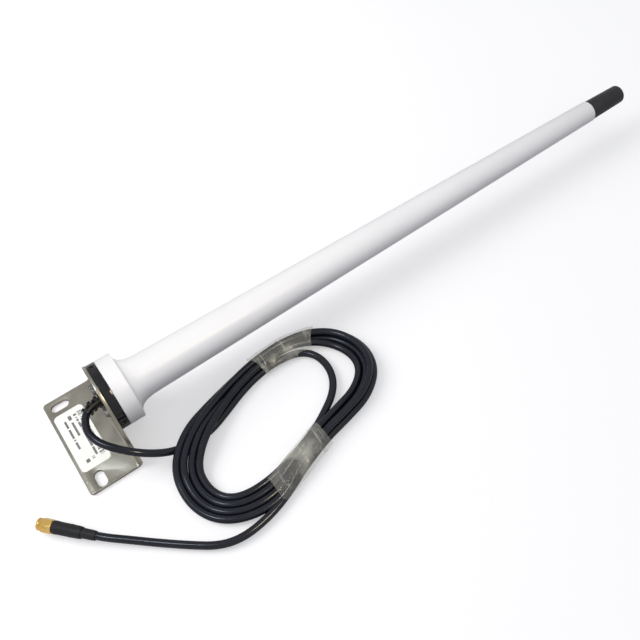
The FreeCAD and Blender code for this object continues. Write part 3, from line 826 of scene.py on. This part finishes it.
def softenedCopy(nodeName, name, width):
    # a merged copy of a CAD node with its flat faces made whole and its edges rounded
    piece = bpy.data.objects.new(name, nodes[nodeName].data.copy())
    bpy.context.collection.objects.link(piece)
    pick(piece)
    bpy.ops.object.mode_set(mode="EDIT")
    bpy.ops.mesh.select_all(action="SELECT")
    bpy.ops.mesh.remove_doubles(threshold=0.002 * mm)
    bpy.ops.mesh.dissolve_limited(angle_limit=math.radians(2))
    bpy.ops.object.mode_set(mode="OBJECT")
    roundEdges(piece, width, segments=2, degrees=40)
    smooth(piece, 30)
    return piece


bracket = softenedCopy("bracket", "bracket_sheet", 0.22 * mm)
finishPiece(bracket, "stainless", "stainless_sheet", "antenna", "bracket")
print("bracket made")

# ribbed strain relief round the cable's first bend, mm
bootSettings = {
    "coreR": 2.66, "ribs": 6, "ribThickness": 1.2, "firstR": 5.1, "lastR": 4.2, "ribBore": 2.6,
    "first": 8.7, "last": 19.6, "bridge": (1.5, 1.3), "lipR": 4.9, "seatR": 6.4,
}


def alongCable(distance):
    # point and direction at a distance in mm from the cable's first point
    left = distance * mm
    for here, there in zip(cableLine, cableLine[1:]):
        step = (there - here).length
        if left <= step:
            return here.lerp(there, left / step), (there - here).normalized()
        left -= step
    return cableLine[-1], (cableLine[-1] - cableLine[-2]).normalized()


def turnTo(piece, place, direction, spin=0.0):
    # a piece made upright at the origin is laid along a direction
    piece.rotation_mode = "QUATERNION"
    piece.rotation_quaternion = direction.to_track_quat("Z", "Y") @ Quaternion((0, 0, 1), spin)
    piece.location = place
    applyPlace(piece)


def makeRib(radius):
    look = bootSettings
    half = look["ribThickness"] / 2
    outline = [(-half, look["ribBore"]), (-half, radius), (half, radius), (half, look["ribBore"]),
               (-half, look["ribBore"])]
    rib = lathe("boot_rib", outline, Vector((0, 0, 0)), (0, 0, 1), steps=40)
    roundEdges(rib, 0.3 * mm, segments=2, degrees=50)
    return rib


def makeBridge(length, radius):
    # small block that ties one rib to the next
    look = bootSettings
    width, depth = look["bridge"]
    deselectAll()
    bpy.ops.mesh.primitive_cube_add(size=1 * mm, location=((radius - depth / 2 - 0.15) * mm, 0, 0))
    block = bpy.context.object
    block.scale = (depth, width, length)
    applyPlace(block)
    roundEdges(block, 0.2 * mm, segments=2, degrees=50)
    return block


def makeBoot():
    look = bootSettings
    count = look["ribs"]
    pitch = (look["last"] - look["first"]) / (count - 1)
    parts = []
    for i in range(count):
        radius = look["firstR"] + (look["lastR"] - look["firstR"]) * i / (count - 1)
        rib = makeRib(radius)
        place, direction = alongCable(look["first"] + pitch * i)
        turnTo(rib, place, direction)
        parts.append(rib)
        if i < count - 1:
            for side in (0, math.pi):
                bridge = makeBridge(pitch, radius)
                place, direction = alongCable(look["first"] + pitch * (i + 0.5))
                turnTo(bridge, place, direction, side + (i % 2) * math.pi / 2)
                parts.append(bridge)
    # core under the ribs, tapering on to the cable
    reach = look["last"] + 2.2
    steps = 22
    core = splineCurve("boot_core", [alongCable(2.0 + (reach - 2.0) * i / steps)[0] / mm
                                     for i in range(steps + 1)], look["coreR"] * mm)
    for i, point in enumerate(core.data.splines[0].points):
        point.radius = 1.0 if i < steps - 3 else 1.0 - 0.04 * (i - steps + 4)
    pick(core)
    bpy.ops.object.convert(target="MESH")
    parts.append(bpy.context.object)
    # grommet through the flange and its seat in the base
    flange = flangeX / mm
    outline = [(flange - 2.9, 2.5), (flange - 2.9, look["lipR"] - 0.4), (flange - 2.5, look["lipR"]),
               (flange + 3.9, look["lipR"]), (flange + 3.9, look["seatR"]),
               (flange + 5.8, look["seatR"]), (flange + 5.8, 2.5), (flange - 2.9, 2.5)]
    grommet = lathe("boot_grommet", outline, mastStart, mastDirection, steps=64)
    roundEdges(grommet, 0.2 * mm, segments=2, degrees=50)
    pick(grommet)
    for part in parts:
        part.select_set(True)
    bpy.ops.object.join()
    boot = bpy.context.object
    boot.name = "ribbed_boot"
    smooth(boot, 40)
    return finishPiece(boot, "bootRubber", "boot_rubber", "antenna", "strain_relief")


boot = makeBoot()
print("strain relief made")

# plug, measured back from its tip, mm
plugSettings = {
    "nutFlat": 4.0, "nutLength": 9.8, "nutBore": 3.1, "nutChamfer": 4.68, "threads": 6,
    "noseLength": 2.6, "noseR": 3.85, "edge": 0.12,
}


def plugLathe(name, outline, edge=0.12, steps=64):
    piece = lathe(name, outline, plugTip, plugDirection, steps=steps)
    roundEdges(piece, edge * mm, segments=2, degrees=40)
    smooth(piece, 40)
    return piece


def makeNut():
    look = plugSettings
    back = -look["nutLength"]
    outside = look["nutChamfer"]
    nose, noseR = -look["noseLength"], look["noseR"]
    outline = [(back, 2.62), (back, 3.85), (back + 0.9, outside), (nose - 0.75, outside), (nose, noseR + 0.1),
               (nose, noseR), (nose + 0.9, noseR), (nose + 1.0, noseR - 0.15), (nose + 1.25, noseR - 0.15),
               (nose + 1.35, noseR), (-0.4, noseR), (0, noseR - 0.35),
               (0, look["nutBore"] + 0.2), (-0.25, look["nutBore"])]
    for i in range(look["threads"]):
        # shallow grooves of the thread down the bore
        start = -0.35 - 0.62 * i
        outline += [(start, look["nutBore"]), (start - 0.3, look["nutBore"] + 0.16),
                    (start - 0.58, look["nutBore"])]
    outline += [(-5.6, look["nutBore"]), (-5.6, 2.62), (-6.1, 2.62), (-6.1, 3.05), (-7.4, 3.05),
                (-7.4, 2.62), (back, 2.62)]
    blank = lathe("coupling_nut_hex", outline, plugTip, plugDirection, steps=72)
    corner = look["nutFlat"] / math.cos(math.radians(30))
    deselectAll()
    bpy.ops.mesh.primitive_cylinder_add(vertices=6, radius=corner * mm, depth=2 * look["nutLength"] * mm)
    hexagon = bpy.context.object
    turnTo(hexagon, plugTip + plugDirection * (back / 2 * mm), plugDirection, math.radians(30))
    applyModifier(blank, "BOOLEAN", operation="INTERSECT", solver="EXACT", object=hexagon)
    bpy.data.objects.remove(hexagon)
    roundEdges(blank, look["edge"] * mm, segments=2, degrees=28)
    smooth(blank, 28)
    return finishPiece(blank, "goldPlate", "gold_plate", "nut", "coupling_nut")


def makePlugBody():
    outline = [(-1.8, 2.0), (-1.8, 2.15), (-2.0, 2.3), (-5.2, 2.3), (-5.2, 2.55), (-6.35, 2.55),
               (-6.35, 2.1), (-7.15, 2.1), (-7.15, 2.55), (-9.9, 2.55), (-9.9, 3.15),
               (-10.05, 3.3), (-12.6, 3.3), (-12.6, 2.2),
               (-18.6, 2.2), (-18.6, 1.4), (-9.0, 1.4), (-9.0, 2.0), (-1.8, 2.0)]
    body = plugLathe("plug_body", outline, edge=0.08)
    return finishPiece(body, "goldPlate", "gold_plate", "antenna", "connector_body")


def makeSleeve(name, outline, bore, replaced):
    # shrunk tube: its outside follows what lies under it
    first, last = outline[0], outline[-1]
    closed = [(first[0], bore), *outline, (last[0], bore), (first[0], bore)]
    sleeve = plugLathe(name, closed, edge=0.2)
    return finishPiece(sleeve, "shrinkMatte", "heat_shrink", "antenna", replaced)


largeOutline = [(-10.0, 3.95), (-10.6, 4.1), (-12.6, 4.12), (-13.6, 3.98), (-16.4, 3.94),
                (-20.6, 3.96), (-22.0, 4.05), (-23.6, 3.9), (-26.4, 3.86), (-28.2, 3.74), (-29.2, 3.62)]
smallOutline = [(-25.6, 3.2), (-29.8, 3.18), (-31.8, 3.1), (-34.8, 3.14), (-37.0, 3.05),
                (-38.5, 2.85)]
nut = makeNut()
plugBody = makePlugBody()
largeSleeve = makeSleeve("sleeve_large", largeOutline, 3.35, "heat_shrink_large")
smallSleeve = makeSleeve("sleeve_small", smallOutline, 2.5, "heat_shrink_small")
print("plug made")

# clear films round the hank: from and to are stations of the hank, skews are degrees, the rest mm
tapeSettings = {
    "upper": {"from": 3.72, "to": 6.12, "skewStart": 4, "skewEnd": -12, "finSide": -1,
              "fin": 2.6, "half": 7.9, "seed": 4, "replaced": "tape_upper"},
    "lower": {"from": 11.86, "to": 14.12, "skewStart": -12, "skewEnd": -4, "finSide": 1,
              "fin": 3.0, "half": 7.7, "seed": 9, "replaced": "tape_lower"},
    "height": 5.0, "centre": 5.05, "wall": 0.07, "sides": 64, "lengthCuts": 30,
}


def hankMiddle(place):
    # point on the hank's middle line at a place between two stations
    whole = int(place)
    part = place - whole
    x, y, z = acrossHank(whole, 0.0, tapeSettings["centre"])
    nextX, nextY = acrossHank(whole + 1, 0.0, tapeSettings["centre"])[:2]
    return x + (nextX - x) * part, y + (nextY - y) * part, z


def makeTape(name):
    common, look = tapeSettings, tapeSettings[name]
    steps = 12
    route = [hankMiddle(look["from"] + (look["to"] - look["from"]) * i / steps)
             for i in range(steps + 1)]
    guide = splineCurve("tape_guide", route, 0)
    line = linePoints(guide)
    length = sum((b - a).length for a, b in zip(line, line[1:]))
    deselectAll()
    bpy.ops.mesh.primitive_cylinder_add(vertices=common["sides"], radius=1 * mm, depth=length,
                                        end_fill_type="NOTHING", location=(length / 2, 0, 0),
                                        rotation=(0, math.radians(90), 0))
    tape = bpy.context.object
    tape.name = "film_tape_" + name
    tape.scale = (common["height"], look["half"], 1)
    applyPlace(tape)
    # rings along the length, then ends cut on the slant
    bpy.ops.object.mode_set(mode="EDIT")
    bpy.ops.mesh.select_mode(type="VERT")
    for i in range(1, common["lengthCuts"]):
        bpy.ops.mesh.select_all(action="SELECT")
        bpy.ops.mesh.bisect(plane_co=(length * i / common["lengthCuts"], 0, 0), plane_no=(1, 0, 0))
    for at, skew, inner in ((1.6 * mm, look["skewStart"], True), (length - 1.6 * mm, look["skewEnd"], False)):
        lean = math.radians(skew)
        bpy.ops.mesh.select_all(action="SELECT")
        bpy.ops.mesh.bisect(plane_co=(at, 0, 0), plane_no=(math.cos(lean), math.sin(lean), 0),
                            clear_inner=inner, clear_outer=not inner)
    # loose fold of film pressed together beside the bundle
    bpy.ops.mesh.select_all(action="DESELECT")
    bpy.ops.object.mode_set(mode="OBJECT")
    side = look["finSide"]
    for vertex in tape.data.vertices:
        vertex.select = vertex.co.y * side > 0.985 * look["half"] * mm
    bpy.ops.object.mode_set(mode="EDIT")
    bpy.ops.transform.translate(value=(0, side * look["fin"] * mm, -1.6 * mm),
                                use_proportional_edit=True, proportional_size=3.6 * mm,
                                proportional_edit_falloff="SHARP")
    bpy.ops.mesh.select_all(action="SELECT")
    bpy.ops.transform.vertex_random(offset=0.34 * mm, uniform=0.3, normal=0.7, seed=look["seed"])
    bpy.ops.mesh.vertices_smooth(factor=0.5, repeat=2)
    bpy.ops.object.mode_set(mode="OBJECT")
    applyModifier(tape, "CURVE", object=guide, deform_axis="POS_X")
    bpy.data.objects.remove(guide)
    applyModifier(tape, "SUBSURF", levels=1, render_levels=1)
    applyModifier(tape, "SOLIDIFY", thickness=common["wall"] * mm, offset=0)
    smooth(tape, 60)
    return finishPiece(tape, "clearFilm", "clear_tape", "antenna", look["replaced"])


tapes = [makeTape("upper"), makeTape("lower")]
print("tapes made")

stageSettings = {
    "floorColour": (0.62, 0.62, 0.63), "floorGlow": 0.43, "world": (0.93, 0.94, 1.0),
    "worldStrength": 0.6,
}


# place, target and size in metres, energy in watts
lightSettings = {
    "soft": {"place": (-0.55, 0.55, 0.8), "target": (0.15, 0, 0), "size": 0.7, "energy": 9.5,
             "colour": (1.0, 0.985, 0.96), "shadow": True, "glossy": False, "diffuse": True},
    "lamp": {"place": (0.30, -0.56, 0.86), "target": (0.03, 0, 0.03), "size": 0.2, "energy": 3.6,
             "colour": (1.0, 0.84, 0.60), "shadow": False, "glossy": True, "diffuse": False},
    "window": {"place": (-0.30, 0.02, 0.85), "target": (0.08, -0.05, 0), "size": 0.2, "energy": 1.9,
               "colour": (0.78, 0.87, 1.0), "shadow": False, "glossy": True, "diffuse": False},
    "key": {"place": (0.08, -0.01, 0.60), "target": (0.13, 0, 0), "size": 0.35, "energy": 3.1,
            "colour": (1.0, 0.985, 0.95), "shadow": False, "glossy": False, "diffuse": True},
}


def makeLight(name):
    look = lightSettings[name]
    deselectAll()
    bpy.ops.object.light_add(type="AREA", location=look["place"])
    light = bpy.context.object
    light.name = name
    light.data.energy = look["energy"]
    light.data.size = look["size"]
    light.data.color = look["colour"]
    light.data.use_shadow = look["shadow"]
    light.visible_glossy = look["glossy"]
    light.visible_diffuse = look["diffuse"]
    aim = Vector(look["target"]) - light.location
    light.rotation_euler = aim.to_track_quat("-Z", "Y").to_euler()
    return light


def lightOnly(light, name, leftOut):
    # the light reaches every mesh but the ones left out
    lit = bpy.data.collections.new(name)
    for piece in bpy.data.objects:
        if piece.type == "MESH" and piece.name not in leftOut:
            lit.objects.link(piece)
    light.light_linking.receiver_collection = lit


def makeStage():
    look = stageSettings
    deselectAll()
    bpy.ops.mesh.primitive_plane_add(size=8, location=(0, 0, -0.3 * mm))
    floor = bpy.context.object
    floor.name = "floor"
    material, tree, shader, place = startMaterial("paleTable", {"Emission Color": (1, 1, 1, 1),
                                                                "Roughness": 0.8})
    tone = useGroup(tree, softTone, {"Vector": place, "Scale": 3.0, "Contrast": 0.6,
                                     "Dark": (*look["floorColour"], 1),
                                     "Light": (0.65, 0.65, 0.655, 1)})
    tree.links.new(tone.outputs["Colour"], shader.inputs["Base Color"])
    seen = addNode(tree, "LightPath").outputs["Is Camera Ray"]
    glow = addNode(tree, "Math", {0: seen, 1: look["floorGlow"]}, operation="MULTIPLY")
    tree.links.new(glow.outputs[0], shader.inputs["Emission Strength"])
    floor.data.materials.append(material)
    world = bpy.data.worlds.new("paleRoom")
    bpy.context.scene.world = world
    world.use_nodes = True
    back = world.node_tree.nodes["Background"]
    back.inputs[0].default_value = (*look["world"], 1)
    back.inputs[1].default_value = look["worldStrength"]
    bpy.context.scene.view_settings.view_transform = "Standard"


makeStage()
lights = {name: makeLight(name) for name in lightSettings}
# the key leaves out the table, to keep it evenly pale, and the black rubber and jacket
darkPieces = [piece.name for piece in (cable, boot, largeSleeve, smallSleeve)]
lightOnly(lights["key"], "litPieces", ["floor", *darkPieces])
# the soft light leaves out the radome, which would lose its upper edge against the table
lightOnly(lights["soft"], "softPieces", ["radome_shell"])
print("stage and lights made")

pieces = [*tapes, largeSleeve, smallSleeve, plugBody, nut]
pieces += [nodes[name] for name in ("crimp_ferrule", "nut_snap_ring", "connector_gasket",
                                    "ptfe_insulator", "centre_pin")]
